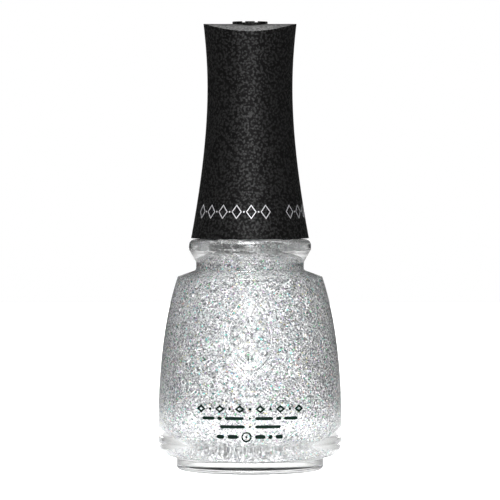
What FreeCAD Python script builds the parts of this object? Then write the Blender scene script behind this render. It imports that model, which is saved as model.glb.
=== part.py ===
import FreeCAD, Part
import os
import re
import Sketcher

# Nail polish bottle with a tall flared brush cap, millimetres, +Z up.
# The origin is the middle of the foot ring, on the surface that the bottle stands on.
# Every round piece is turned about Z; each outline below is drawn in the XZ half plane.

SIZES = {
    # Glass, from the foot up to the collar that the cap stands over
    "foot_radius": 13.6,
    "foot_round": 0.9,
    "foot_height": 2.5,
    "foot_fillet": 0.5,
    "recess_radius": 11.4,
    "recess_depth": 0.5,
    "recess_slope": 0.5,
    "body_radius": 17.1,
    "heel_round": 2.8,
    "belly_height": 6.0,
    "shoulder_height": 35.7,
    "shoulder_inset": 3.75,
    "shoulder_round": 0.65,
    "side_bend": 11.15,
    "shoulder_rise": 1.2,
    "waist_length": 1.45,
    "waist_fillet": 0.6,
    "collar_flare": 2.35,
    "collar_band": 1.88,
    "collar_step": 1.33,
    "collar_round": 1.45,
    "collar_overhang": 5.53,
    # Glass, the threaded finish inside the cap
    "root_radius": 5.75,
    "bore_radius": 4.0,
    "finish_height": 11.47,
    "lip_round": 0.45,
    "thread_pitch": 2.117,
    "thread_turns": 1.5,
    "thread_depth": 0.7,
    "thread_base": 1.2,
    "thread_crest": 0.5,
    "thread_start": 3.9,
    # Glass, the hollow that holds the lacquer
    "wall": 3.3,
    "floor_height": 4.0,
    "hollow_belly": 10.5,
    "hollow_bend": 9.6,
    "bowl_bend": 7.8,
    "bowl_step": 1.25,
    "bowl_rise": 5.6,
    "bowl_reach": 4.5,
    "bowl_flat": 4.5,
    "hollow_shoulder_drop": 3.0,
    "hollow_shoulder_inset": 3.0,
    "hollow_lead": 0.28,
    "throat_radius": 8.3,
    "throat_rise": 1.9,
    "throat_length": 4.4,
    "throat_bend": 0.8,
    # Contents
    "lacquer_gap": 0.02,
    "brush_room": 0.5,
    "overrun": 1.0,
    "ball_radius": 2.25,
    "ball_gap": 0.05,
    "ball_clear": 1.0,
    "label_radius": 10.4,
    "label_thick": 0.08,
    # Closure: threaded inner cap with the brush's socket
    "thread_gap": 0.2,
    "closure_wall": 0.95,
    "closure_plate": 1.4,
    "closure_lift": 0.55,
    "ridge_turns": 1.25,
    "ridge_base": 1.0,
    "ridge_crest": 0.4,
    "ridge_gap": 0.25,
    "flange_rise": 0.2,
    "flange_thick": 1.0,
    "rib_count": 8,
    "rib_thick": 1.0,
    "rib_height": 8.4,
    "socket_wall": 1.2,
    "socket_depth": 7.6,
    "seal_thick": 0.8,
    "seal_gap": 0.05,
    "seal_inset": 0.3,
    # Brush
    "stem_radius": 2.0,
    "stem_tip_radius": 1.7,
    "stem_fit": 0.06,
    "disc_radius": 4.6,
    "disc_thick": 0.8,
    "tuft_bore": 1.25,
    "tuft_bore_depth": 4.2,
    "tuft_radius": 1.75,
    "bristle_length": 16.2,
    "bristle_swell": 5.0,
    "bristle_taper": 4.5,
    "tip_radius": 0.8,
    "tip_gap": 1.7,
    "anchor_width": 2.3,
    "anchor_thick": 0.35,
    "anchor_height": 2.2,
    "anchor_cover": 0.3,
    "tuft_fit": 0.02,
    "tuft_head_gap": 0.1,
    # Cap: flared sleeve with an arched lid
    "cap_gap": 0.24,
    "cap_height": 39.56,
    "cap_wall": 0.9,
    "waist_margin": 0.26,
    "waist_drop": 11.73,
    "mouth_flare": 3.3,
    "flare_bend": 16.33,
    "top_flare": 0.74,
    "top_bend": 6.28,
    "arch_radius": 23.3,
    "lid_depth": 3.9,
    "lid_step": 0.6,
    "lid_fit": 0.03,
    "lid_skirt": 1.2,
    "lid_hollow": 1.6,
    "button_radius": 3.25,
    "button_height": 0.42,
    "button_groove": 0.55,
    "button_spacing": 2.3,
    "button_groove_depth": 0.2,
}

# Places that several pieces share, each worked out from the sizes above
NECK_FOOT = "shoulder_height + shoulder_rise"
COLLAR_FOOT = NECK_FOOT + " + waist_length"
COLLAR_BULGE = COLLAR_FOOT + " + collar_flare"
COLLAR_TOP = COLLAR_BULGE + " + collar_band"
LIP = COLLAR_TOP + " + finish_height"
THREAD_START = COLLAR_TOP + " + thread_start"
COLLAR_RADIUS = "root_radius + collar_overhang"
HOLLOW_RADIUS = "body_radius - wall"
HOLLOW_SHOULDER = "shoulder_height - hollow_shoulder_drop"
THROAT = "shoulder_height + throat_rise"
BORE_FOOT = THROAT + " + throat_length"
CLOSURE_BORE = "root_radius + thread_depth + thread_gap"
CLOSURE_RADIUS = CLOSURE_BORE + " + closure_wall"
CLOSURE_FOOT = COLLAR_TOP + " + closure_lift"
SEAL_FOOT = LIP + " + seal_gap"
DISC_FOOT = SEAL_FOOT + " + seal_thick + seal_gap"
PLATE_FOOT = DISC_FOOT + " + disc_thick + seal_gap"
PLATE_TOP = PLATE_FOOT + " + closure_plate"
TUFT_TIP = "floor_height + tip_gap"
STEM_FOOT = TUFT_TIP + " + bristle_length"
MOUTH = COLLAR_TOP + " + cap_gap"
RIDGE = MOUTH + " + cap_height"
WAIST = RIDGE + " - waist_drop"
WAIST_RADIUS = CLOSURE_RADIUS + " + waist_margin"
MOUTH_RADIUS = CLOSURE_RADIUS + " + mouth_flare"
TOP_RADIUS = WAIST_RADIUS + " + top_flare"
LID_FOOT = RIDGE + " - lid_depth"
LID_BORE = WAIST_RADIUS + " - cap_wall + lid_step"
NEAR = 0.001

doc = FreeCAD.newDocument("nail_polish_bottle")
sheet = doc.addObject("Spreadsheet::Sheet", "Dims")


def fill_sheet():
    """Write every size into the sheet, beside its name."""
    for row, (name, amount) in enumerate(SIZES.items(), 1):
        sheet.set("A%d" % row, name)
        sheet.set("B%d" % row, str(amount))
        sheet.setAlias("B%d" % row, name)
    doc.recompute()


def bound(text):
    """The expression with each size's name pointed at the sheet."""
    return re.sub(r"[a-z]\w*", lambda name: "Dims." + name[0] if name[0] in SIZES else name[0], text)


def size(text):
    """What an expression comes to with the sheet's present sizes."""
    return float(sheet.evalExpression(bound(text)))


def minus(place, amount):
    return "(%s) - (%s)" % (place, amount)


def plus(place, amount):
    return "(%s) + (%s)" % (place, amount)


def new_body(name):
    body = doc.addObject("PartDesign::Body", name)
    body.Label = name
    return body


def new_sketch(body, name, role="XZ_Plane"):
    """An empty sketch on one of the body's own origin planes."""
    sketch = body.newObject("Sketcher::SketchObject", name)
    plane = [feature for feature in body.Origin.OriginFeatures if feature.Role == role][0]
    sketch.AttachmentSupport = [(plane, "")]
    sketch.MapMode = "FlatFace"
    return sketch


def pin(sketch, item, end, across, up):
    """Hold one point of a sketch at two expressions, measured from the origin."""
    for kind, text, axis in (("DistanceX", across, -2), ("DistanceY", up, -1)):
        if text == "0":
            sketch.addConstraint(Sketcher.Constraint("PointOnObject", item, end, axis))
            continue
        index = sketch.addConstraint(Sketcher.Constraint(kind, -1, 1, item, end, size(text)))
        sketch.setExpression("Constraints[%d]" % index, bound(text))


def add_curve(sketch, poles, start_held):
    """A curve that leaves along its first pair of poles and arrives along its last pair. Its
    start is left free where the piece of the outline before it holds it already."""
    points = [FreeCAD.Vector(size(across), size(up), 0) for across, up in poles]
    spline = Part.BSplineCurve(points, None, None, False, len(points) - 1, None, False)
    curve = sketch.addGeometry(spline, False)
    for number, point in enumerate(points):
        mark = sketch.addGeometry(Part.Circle(point, FreeCAD.Vector(0, 0, 1), 1.0), True)
        kind = "InternalAlignment:Sketcher::BSplineControlPoint"
        sketch.addConstraint(Sketcher.Constraint(kind, mark, 3, curve, number))
        sketch.addConstraint(Sketcher.Constraint("Weight", mark, 1.0))
        if number or not start_held:
            pin(sketch, mark, 3, *poles[number])
    return curve


def outline(body, name, corners):
    """A closed outline. A corner is (across, up); one with four entries is reached from the
    corner before it along a curve, whose tangents at both ends meet at (entry 3, entry 4)."""
    sketch = new_sketch(body, name)
    items = []
    for number, corner in enumerate(corners):
        before = corners[number - 1]
        if len(corner) == 4:
            items.append(add_curve(sketch, [before[:2], corner[2:], corner[:2]], len(before) == 4))
            continue
        ends = [FreeCAD.Vector(size(across), size(up), 0) for across, up in (before[:2], corner[:2])]
        items.append(sketch.addGeometry(Part.LineSegment(*ends), False))
    for number, item in enumerate(items):
        following = items[(number + 1) % len(items)]
        sketch.addConstraint(Sketcher.Constraint("Coincident", item, 2, following, 1))
        touches_curve = len(corners[number]) == 4 or len(corners[(number + 1) % len(items)]) == 4
        if not touches_curve:
            pin(sketch, item, 2, *corners[number][:2])
    return sketch


def turned(body, name, corners, kind="PartDesign::Revolution"):
    """A solid, or with a Groove a cut, turned about Z from an outline."""
    sketch = outline(body, name + "_outline", corners)
    feature = body.newObject(kind, name)
    feature.Profile = sketch
    feature.ReferenceAxis = (sketch, ["V_Axis"])
    feature.Angle = 360
    doc.recompute()
    return feature


def thread(body, name, corners, turns):
    """A right-hand thread that starts on +X and climbs by the pitch each turn."""
    sketch = outline(body, name + "_outline", corners)
    feature = body.newObject("PartDesign::AdditiveHelix", name)
    feature.Profile = sketch
    feature.ReferenceAxis = (sketch, ["V_Axis"])
    feature.Mode = "pitch-turns-angle"
    feature.setExpression("Pitch", bound("thread_pitch"))
    feature.setExpression("Turns", bound(turns))
    doc.recompute()
    return feature


def rounded(body, name, radius, rims):
    """Fillet the round edges that lie at the given radii and heights."""
    base = body.Tip
    edges = []
    for across, up in rims:
        for number, edge in enumerate(base.Shape.Edges, 1):
            curve = edge.Curve
            if not isinstance(curve, Part.Circle):
                continue
            if abs(curve.Radius - size(across)) < NEAR and abs(curve.Center.z - size(up)) < NEAR:
                edges.append("Edge%d" % number)
    fillet = body.newObject("PartDesign::Fillet", name)
    fillet.Base = (base, edges)
    fillet.setExpression("Radius", bound(radius))
    doc.recompute()
    return fillet


def cut_above_arch(body, name):
    """Cut off all that stands above the arch, a cylinder that lies along X under the ridge."""
    sketch = new_sketch(body, name + "_outline", "YZ_Plane")
    radius = size("arch_radius")
    ridge = size(RIDGE)
    half = size(plus(TOP_RADIUS, "overrun"))
    drop = radius - (radius ** 2 - half ** 2) ** 0.5
    left = FreeCAD.Vector(-half, ridge - drop, 0)
    right = FreeCAD.Vector(half, ridge - drop, 0)
    top_left = FreeCAD.Vector(-half, ridge + drop, 0)
    top_right = FreeCAD.Vector(half, ridge + drop, 0)
    arc = sketch.addGeometry(Part.Arc(right, FreeCAD.Vector(0, ridge, 0), left), False)
    start, end = (1, 2) if sketch.getPoint(arc, 1).x > 0 else (2, 1)
    rise = sketch.addGeometry(Part.LineSegment(right, top_right), False)
    roof = sketch.addGeometry(Part.LineSegment(top_right, top_left), False)
    fall = sketch.addGeometry(Part.LineSegment(top_left, left), False)
    for first, first_end, second, second_end in (
        (arc, start, rise, 1), (rise, 2, roof, 1), (roof, 2, fall, 1), (fall, 2, arc, end)
    ):
        sketch.addConstraint(Sketcher.Constraint("Coincident", first, first_end, second, second_end))
    sketch.addConstraint(Sketcher.Constraint("Vertical", rise))
    sketch.addConstraint(Sketcher.Constraint("Vertical", fall))
    pin(sketch, arc, 3, "0", minus(RIDGE, "arch_radius"))
    pin(sketch, rise, 2, plus(TOP_RADIUS, "overrun"), plus(RIDGE, "button_height + overrun"))
    sketch.addConstraint(Sketcher.Constraint("Symmetric", rise, 2, fall, 1, -2))
    index = sketch.addConstraint(Sketcher.Constraint("Radius", arc, radius))
    sketch.setExpression("Constraints[%d]" % index, bound("arch_radius"))
    pocket = body.newObject("PartDesign::Pocket", name)
    pocket.Profile = sketch
    pocket.Midplane = True
    pocket.setExpression("Length", bound("4 * (%s)" % TOP_RADIUS))
    doc.recompute()
    return pocket


def hollow_corners(gap):
    """The hollow's side from the bore's foot down to the floor, drawn smaller by a gap."""
    side = minus(HOLLOW_RADIUS, gap)
    floor = plus("floor_height", gap)
    throat = minus("throat_radius", gap)
    shoulder = "body_radius - shoulder_inset - hollow_shoulder_inset - (%s)" % gap
    return [
        (throat, THROAT, throat, BORE_FOOT + " - throat_bend"),
        (shoulder, HOLLOW_SHOULDER,
         "(%s) - ((%s) - (%s)) * hollow_lead" % (shoulder, side, shoulder),
         "(%s) + hollow_bend * hollow_lead" % HOLLOW_SHOULDER),
        (side, "floor_height + hollow_belly", side, minus(HOLLOW_SHOULDER, "hollow_bend")),
        (minus(side, "bowl_step"), plus(floor, "bowl_rise"), side, plus(floor, "bowl_bend")),
        (minus("bowl_flat", gap), floor, minus(side, "bowl_reach"), floor),
        ("0", floor),
    ]


def make_glass_bottle():
    """The bottle: foot ring, round body, collar, threaded finish and the hollow inside."""
    body = new_body("glass_bottle")
    shoulder_radius = "body_radius - shoulder_inset"
    waist_radius = minus(COLLAR_RADIUS, "collar_step")
    corners = [
        ("0", "recess_depth"),
        ("recess_radius", "recess_depth"),
        ("recess_radius + recess_slope", "0"),
        ("foot_radius", "0"),
        ("foot_radius", "foot_height"),
        ("body_radius", "foot_height"),
        ("body_radius", "belly_height"),
        (shoulder_radius, "shoulder_height", "body_radius", "shoulder_height - side_bend"),
        (waist_radius, NECK_FOOT),
        (waist_radius, COLLAR_FOOT),
        (COLLAR_RADIUS, COLLAR_BULGE),
        (COLLAR_RADIUS, COLLAR_TOP),
        ("root_radius", COLLAR_TOP),
        ("root_radius", LIP),
        ("bore_radius", LIP),
        ("bore_radius", BORE_FOOT),
    ]
    turned(body, "glass_walls", corners + hollow_corners("0"))
    rounded(body, "heel", "heel_round", [("body_radius", "foot_height")])
    rounded(body, "foot_edge", "foot_round", [("foot_radius", "0")])
    rounded(body, "foot_corner", "foot_fillet", [("foot_radius", "foot_height")])
    rounded(body, "shoulder_edge", "shoulder_round", [(shoulder_radius, "shoulder_height")])
    rounded(body, "waist_corners", "waist_fillet",
            [(waist_radius, NECK_FOOT), (waist_radius, COLLAR_FOOT)])
    rounded(body, "collar_edge", "collar_round", [(COLLAR_RADIUS, COLLAR_TOP)])
    rounded(body, "lip_edges", "lip_round", [("root_radius", LIP), ("bore_radius", LIP)])
    root = minus("root_radius", "thread_gap")
    crest = "root_radius + thread_depth"
    thread(body, "neck_thread", [
        (root, THREAD_START),
        (crest, plus(THREAD_START, "(thread_base - thread_crest) / 2")),
        (crest, plus(THREAD_START, "(thread_base + thread_crest) / 2")),
        (root, plus(THREAD_START, "thread_base")),
    ], "thread_turns")
    return body


def add_holes(body, name, sketch_height, depth, circles, upward=True):
    """Round pockets that start at one height; circles are (across, radius) along +X or -X."""
    sketch = new_sketch(body, name + "_outline", "XY_Plane")
    sketch.setExpression("AttachmentOffset.Base.z", bound(sketch_height))
    for sign, across, radius in circles:
        centre = FreeCAD.Vector(sign * size(across), 0, 0)
        ring = sketch.addGeometry(Part.Circle(centre, FreeCAD.Vector(0, 0, 1), size(radius)), False)
        sketch.addConstraint(Sketcher.Constraint("PointOnObject", ring, 3, -1))
        points = (-1, 1, ring, 3) if sign > 0 else (ring, 3, -1, 1)
        index = sketch.addConstraint(Sketcher.Constraint("DistanceX", *points, size(across)))
        sketch.setExpression("Constraints[%d]" % index, bound(across))
        index = sketch.addConstraint(Sketcher.Constraint("Radius", ring, size(radius)))
        sketch.setExpression("Constraints[%d]" % index, bound(radius))
    pocket = body.newObject("PartDesign::Pocket", name)
    pocket.Profile = sketch
    pocket.Reversed = upward
    pocket.setExpression("Length", bound(depth))
    doc.recompute()
    return pocket


def make_lacquer():
    """The lacquer that fills the hollow, with room for the brush and the two mixing balls."""
    body = new_body("lacquer")
    room_radius = "tuft_radius + brush_room"
    room_foot = minus(TUFT_TIP, "brush_room")
    room_top = plus(BORE_FOOT, "overrun")
    corners = [
        ("0", BORE_FOOT),
        (minus("bore_radius", "lacquer_gap"), BORE_FOOT),
    ]
    turned(body, "filled_hollow", corners + hollow_corners("lacquer_gap"))
    turned(body, "room_for_brush", [
        ("0", room_foot),
        (room_radius, room_foot),
        (room_radius, room_top),
        ("0", room_top),
    ], "PartDesign::Groove")
    reach = "tuft_radius + ball_radius + ball_clear"
    room = "ball_radius + ball_gap"
    add_holes(body, "ball_room", "floor_height", "2 * (%s) + ball_gap" % room,
              [(1, reach, room), (-1, reach, room)])
    return body


def make_mixing_ball(name, side):
    """A steel ball that stirs the lacquer when the bottle is shaken; it rests on the floor."""
    ball = doc.addObject("Part::Sphere", name)
    ball.Label = name
    ball.setExpression("Radius", bound("ball_radius"))
    ball.setExpression("Placement.Base.x", bound("%d * (tuft_radius + ball_radius + ball_clear)" % side))
    ball.setExpression("Placement.Base.z", bound("floor_height + ball_gap + ball_radius"))
    return ball


def make_base_label():
    """A blank round sticker in the recess under the bottle."""
    body = new_body("base_label")
    turned(body, "sticker", [
        ("0", "recess_depth - label_thick"),
        ("label_radius", "recess_depth - label_thick"),
        ("label_radius", "recess_depth"),
        ("0", "recess_depth"),
    ])
    return body


def make_seal_liner():
    """The soft ring that the cap presses on the bottle's lip."""
    body = new_body("seal_liner")
    inner = "stem_radius + seal_inset"
    outer = minus(CLOSURE_BORE, "seal_inset")
    turned(body, "ring", [
        (inner, SEAL_FOOT),
        (outer, SEAL_FOOT),
        (outer, plus(SEAL_FOOT, "seal_thick")),
        (inner, plus(SEAL_FOOT, "seal_thick")),
    ])
    return body


def make_brush_stem():
    """The wand: a head in the cap's socket, a disc under the plate and a stem to the bristles."""
    body = new_body("brush_stem")
    head_top = plus(PLATE_TOP, "socket_depth - socket_wall")
    turned(body, "wand", [
        ("0", STEM_FOOT),
        ("stem_tip_radius", STEM_FOOT),
        ("stem_radius", minus(LIP, "finish_height")),
        ("stem_radius", DISC_FOOT),
        ("disc_radius", DISC_FOOT),
        ("disc_radius", plus(DISC_FOOT, "disc_thick")),
        ("stem_radius", plus(DISC_FOOT, "disc_thick")),
        ("stem_radius", head_top),
        ("0", head_top),
    ])
    turned(body, "bristle_bore", [
        ("0", minus(STEM_FOOT, "overrun")),
        ("tuft_bore", minus(STEM_FOOT, "overrun")),
        ("tuft_bore", plus(STEM_FOOT, "tuft_bore_depth")),
        ("0", plus(STEM_FOOT, "tuft_bore_depth")),
    ], "PartDesign::Groove")
    return body


def anchor_box(name, extra):
    """The flat staple's outline as a box, larger by an extra for the slot that it sits in."""
    box = doc.addObject("Part::Box", name)
    box.Label = name
    box.setExpression("Length", bound("anchor_width + 2 * %s" % extra))
    box.setExpression("Width", bound("anchor_thick + 2 * %s" % extra))
    box.setExpression("Height", bound("anchor_height + 2 * %s" % extra))
    box.setExpression("Placement.Base.x", bound("-anchor_width / 2 - %s" % extra))
    box.setExpression("Placement.Base.y", bound("-anchor_thick / 2 - %s" % extra))
    foot = plus(STEM_FOOT, "tuft_bore_depth - anchor_height - anchor_cover")
    box.setExpression("Placement.Base.z", bound(minus(foot, extra)))
    return box


def make_bristle_tuft():
    """The bristles as one soft closed form, folded over the staple in the stem's bore."""
    body = new_body("tuft_form")
    fit = "tuft_bore - tuft_fit"
    head = plus(STEM_FOOT, "tuft_bore_depth - tuft_head_gap")
    turned(body, "bristles", [
        ("0", TUFT_TIP),
        ("tip_radius", TUFT_TIP),
        ("tuft_radius", plus(TUFT_TIP, "bristle_taper"), "tuft_radius", plus(TUFT_TIP, "tip_radius")),
        (fit, minus(STEM_FOOT, "tuft_fit"), "tuft_radius", minus(STEM_FOOT, "bristle_swell")),
        (fit, head),
        ("0", head),
    ])
    tuft = doc.addObject("Part::Cut", "bristle_tuft")
    tuft.Label = "bristle_tuft"
    tuft.Base = body
    tuft.Tool = anchor_box("anchor_slot", "tuft_fit")
    return tuft


def make_inner_cap():
    """The threaded closure: tube, top plate, brush socket, foot flange and outer ribs."""
    body = new_body("inner_cap")
    slope = "((%s) - (%s)) / (flare_bend)" % (MOUTH_RADIUS, WAIST_RADIUS)
    edge = "(%s) - cap_wall - lid_fit" % MOUTH_RADIUS
    flange_foot = CLOSURE_FOOT + " + flange_rise"
    flange_top = flange_foot + " + flange_thick"
    flange_radius = "(%s) - ((%s) - (%s)) * %s" % (edge, flange_top, MOUTH, slope)
    socket_radius = "stem_radius + stem_fit"
    turned(body, "tube", [
        (CLOSURE_BORE, CLOSURE_FOOT),
        (CLOSURE_RADIUS, CLOSURE_FOOT),
        (CLOSURE_RADIUS, flange_foot),
        (flange_radius, flange_foot),
        (flange_radius, flange_top),
        (CLOSURE_RADIUS, flange_top),
        (CLOSURE_RADIUS, LIP),
        (minus(WAIST_RADIUS, "cap_wall + lid_fit"), PLATE_TOP),
        (plus(socket_radius, "socket_wall"), PLATE_TOP),
        (plus(socket_radius, "socket_wall"), plus(PLATE_TOP, "socket_depth")),
        ("0", plus(PLATE_TOP, "socket_depth")),
        ("0", plus(PLATE_TOP, "socket_depth - socket_wall + stem_fit")),
        (socket_radius, plus(PLATE_TOP, "socket_depth - socket_wall + stem_fit")),
        (socket_radius, PLATE_FOOT),
        (CLOSURE_BORE, PLATE_FOOT),
    ])
    rib_top = "(%s) + rib_height" % flange_top
    rib_top_radius = "(%s) - ((%s) - (%s)) * %s" % (edge, rib_top, MOUTH, slope)
    sketch = outline(body, "rib_outline", [
        (minus(CLOSURE_RADIUS, "closure_wall / 2"), minus(flange_top, "flange_thick / 2")),
        (flange_radius, minus(flange_top, "flange_thick / 2")),
        (flange_radius, flange_top),
        (rib_top_radius, rib_top),
        (minus(CLOSURE_RADIUS, "closure_wall / 2"), rib_top),
    ])
    rib = body.newObject("PartDesign::Pad", "rib")
    rib.Profile = sketch
    rib.Midplane = True
    rib.setExpression("Length", bound("rib_thick"))
    doc.recompute()
    ribs = body.newObject("PartDesign::PolarPattern", "ribs")
    ribs.Originals = [rib]
    ribs.Axis = (sketch, ["V_Axis"])
    ribs.Angle = 360
    ribs.setExpression("Occurrences", bound("rib_count"))
    body.Tip = ribs
    doc.recompute()
    start = minus(THREAD_START, "thread_pitch / 2 - (thread_base - ridge_base) / 2")
    crest = "root_radius + ridge_gap"
    bore = plus(CLOSURE_BORE, "thread_gap")
    thread(body, "cap_thread", [
        (bore, start),
        (crest, plus(start, "(ridge_base - ridge_crest) / 2")),
        (crest, plus(start, "(ridge_base + ridge_crest) / 2")),
        (bore, plus(start, "ridge_base")),
    ], "ridge_turns")
    return body


def make_cap_shell():
    """The tall sleeve: a narrow waist, a flared mouth and a rim that follows the arch."""
    body = new_body("cap_shell")
    flare = plus(MOUTH, "flare_bend")
    top_bend = minus(RIDGE, "top_bend")
    inner_waist = minus(WAIST_RADIUS, "cap_wall")
    corners = [
        (MOUTH_RADIUS, MOUTH),
        (WAIST_RADIUS, WAIST, WAIST_RADIUS, flare),
        (TOP_RADIUS, RIDGE, WAIST_RADIUS, top_bend),
        (LID_BORE, RIDGE),
        (LID_BORE, LID_FOOT),
        (plus(inner_waist, "lid_step / 4"), LID_FOOT),
        (inner_waist, WAIST),
        (minus(MOUTH_RADIUS, "cap_wall"), MOUTH, inner_waist, flare),
    ]
    turned(body, "sleeve", corners)
    cut_above_arch(body, "arched_rim")
    return body


def make_cap_lid():
    """The lid: an arched disc let into the sleeve, with a round button of two grooves."""
    body = new_body("cap_lid")
    radius = minus(LID_BORE, "lid_fit")
    hollow = minus(radius, "lid_skirt")
    turned(body, "disc", [
        (hollow, LID_FOOT),
        (radius, LID_FOOT),
        (radius, RIDGE),
        ("0", RIDGE),
        ("0", plus(LID_FOOT, "lid_hollow")),
        (hollow, plus(LID_FOOT, "lid_hollow")),
    ])
    cut_above_arch(body, "arched_top")
    turned(body, "button", [
        ("0", minus(RIDGE, "button_height")),
        ("button_radius", minus(RIDGE, "button_height")),
        ("button_radius", plus(RIDGE, "button_height")),
        ("0", plus(RIDGE, "button_height")),
    ])
    groove_foot = plus(RIDGE, "button_height - button_groove_depth")
    sketch = new_sketch(body, "groove_outline", "XZ_Plane")
    for side in (-1, 1):
        add_groove(sketch, side, groove_foot)
    grooves = body.newObject("PartDesign::Pocket", "button_grooves")
    grooves.Profile = sketch
    grooves.Midplane = True
    grooves.setExpression("Length", bound("4 * button_radius"))
    doc.recompute()
    return body


def add_groove(sketch, side, foot):
    """One groove's cross-section, to the left or the right of the button's middle."""
    near = "(button_spacing - button_groove) / 2"
    far = "(button_spacing + button_groove) / 2"
    top = plus(foot, "overrun")
    points = [FreeCAD.Vector(side * size(across), size(up), 0)
              for across, up in ((near, foot), (far, foot), (far, top), (near, top))]
    lines = []
    for number, point in enumerate(points):
        stroke = Part.LineSegment(point, points[(number + 1) % len(points)])
        lines.append(sketch.addGeometry(stroke, False))
    for number, line in enumerate(lines):
        following = lines[(number + 1) % len(lines)]
        sketch.addConstraint(Sketcher.Constraint("Coincident", line, 2, following, 1))
        sketch.addConstraint(Sketcher.Constraint("Vertical" if number % 2 else "Horizontal", line))
    for end, text in ((1, near), (2, far)):
        points = (-1, 1, lines[0], end) if side > 0 else (lines[0], end, -1, 1)
        index = sketch.addConstraint(Sketcher.Constraint("DistanceX", *points, size(text)))
        sketch.setExpression("Constraints[%d]" % index, bound(text))
    for line, text in ((lines[0], foot), (lines[2], top)):
        index = sketch.addConstraint(Sketcher.Constraint("DistanceY", -1, 1, line, 1, size(text)))
        sketch.setExpression("Constraints[%d]" % index, bound(text))


def check_document(pieces):
    """Stop if any feature failed or any piece is not one sound solid."""
    for item in doc.Objects:
        if "Invalid" in item.State or "Error" in item.State:
            raise RuntimeError("%s could not be built" % item.Name)
    for piece in pieces:
        shape = piece.Shape
        if shape.isNull() or not shape.isValid() or len(shape.Solids) != 1:
            raise RuntimeError("%s is not one sound solid" % piece.Label)


def main():
    fill_sheet()
    pieces = [
        make_glass_bottle(),
        make_lacquer(),
        make_mixing_ball("mixing_ball_a", 1),
        make_mixing_ball("mixing_ball_b", -1),
        make_base_label(),
        make_seal_liner(),
        make_brush_stem(),
        anchor_box("bristle_anchor", "0"),
        make_bristle_tuft(),
        make_inner_cap(),
        make_cap_shell(),
        make_cap_lid(),
    ]
    doc.recompute()
    check_document(pieces)
    os.makedirs("parts", exist_ok=True)
    for piece in pieces:
        piece.Shape.exportStep("parts/%s.step" % piece.Label)
        box = piece.Shape.BoundBox
        facts = (piece.Label, piece.Shape.Volume, box.ZMin, box.ZMax)
        print("%-14s %9.1f mm3  z %6.2f to %6.2f" % facts)


main()
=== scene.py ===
"""Looks of a glitter nail polish bottle: glass, lacquer, printed marks, brush and flared cap."""
import math
import random

import bpy
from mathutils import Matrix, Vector


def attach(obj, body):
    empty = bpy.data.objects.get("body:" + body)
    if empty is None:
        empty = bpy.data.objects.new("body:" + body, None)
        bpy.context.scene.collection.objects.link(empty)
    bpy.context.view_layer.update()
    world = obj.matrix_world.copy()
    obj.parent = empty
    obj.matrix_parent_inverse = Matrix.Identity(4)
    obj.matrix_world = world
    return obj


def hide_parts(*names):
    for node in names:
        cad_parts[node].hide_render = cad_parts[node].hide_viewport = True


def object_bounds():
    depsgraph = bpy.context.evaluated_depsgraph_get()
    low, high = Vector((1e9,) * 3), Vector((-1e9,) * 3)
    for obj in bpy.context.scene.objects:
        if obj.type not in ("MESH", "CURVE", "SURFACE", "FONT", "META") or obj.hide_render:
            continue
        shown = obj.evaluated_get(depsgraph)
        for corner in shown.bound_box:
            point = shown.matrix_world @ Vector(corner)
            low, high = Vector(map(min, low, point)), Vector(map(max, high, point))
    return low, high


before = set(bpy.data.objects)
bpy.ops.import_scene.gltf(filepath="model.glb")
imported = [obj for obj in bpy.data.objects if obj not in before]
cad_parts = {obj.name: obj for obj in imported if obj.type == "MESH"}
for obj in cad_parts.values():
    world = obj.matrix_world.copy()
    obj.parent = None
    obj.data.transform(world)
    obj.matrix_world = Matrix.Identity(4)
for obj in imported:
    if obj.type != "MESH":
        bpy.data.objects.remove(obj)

MM = 0.001
CAD_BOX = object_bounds()

# ---------------------------------------------------------------- outlines, in millimetres

RECESS_RADIUS, RECESS_DEPTH = 11.4, 0.5
STANDING_RADIUS = 11.9
FOOT_RADIUS, FOOT_HEIGHT = 13.6, 2.5
BODY_RADIUS, BELLY_HEIGHT = 17.08, 6.0
BODY_BEND = 24.55
SHOULDER_RADIUS, SHOULDER_HEIGHT = 13.35, 35.7
WAIST_RADIUS, WAIST_FOOT, WAIST_HEAD = 9.95, 36.9, 38.35
COLLAR_RADIUS, COLLAR_BULGE, COLLAR_HEAD = 11.28, 40.7, 42.58
NECK_RADIUS, LIP_HEIGHT, LIP_ROUND = 5.75, 54.05, 0.45
THREADED_FOOT, THREADED_HEAD = 46.2, 51.6
BORE_RADIUS, BORE_FOOT = 4.0, 42.0
THROAT_RADIUS, THROAT_HEIGHT, THROAT_BEND = 8.3, 37.6, 41.2
INNER_SHOULDER_RADIUS, INNER_SHOULDER_HEIGHT = 10.35, 32.7
INNER_SHOULDER_LEAD, INNER_SHOULDER_BEND, HOLLOW_BEND = 0.97, 35.39, 23.1
HOLLOW_RADIUS, HOLLOW_FLOOR, HOLLOW_BELLY = 13.8, 4.0, 10.5
BOWL_BEND, BOWL_STEP, BOWL_RISE, BOWL_FLAT = 7.8, 1.25, 5.6, 4.5
THREAD_START, THREAD_PITCH, THREAD_TURNS, THREAD_DEPTH = 47.08, 2.117, 1.5, 0.7
THREAD_HALF_CREST, THREAD_HALF_BASE, THREAD_FADE = 0.22, 0.62, 0.12
LACQUER_SWELL, LACQUER_TOP = 0.03, 42.2
PRINTED_SIDE = -math.pi / 2


def curve(start, control, end, steps):
    """Points of a quadratic curve, without its start."""
    points = []
    for i in range(1, steps + 1):
        t = i / steps
        points.append(tuple(
            start[k] * (1 - t) ** 2 + 2 * control[k] * t * (1 - t) + end[k] * t * t for k in (0, 1)
        ))
    return points


def line(start, end, steps):
    """Evenly spaced points from start to end, without the start."""
    return [tuple(start[k] + (end[k] - start[k]) * i / steps for k in (0, 1)) for i in range(1, steps + 1)]


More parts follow.
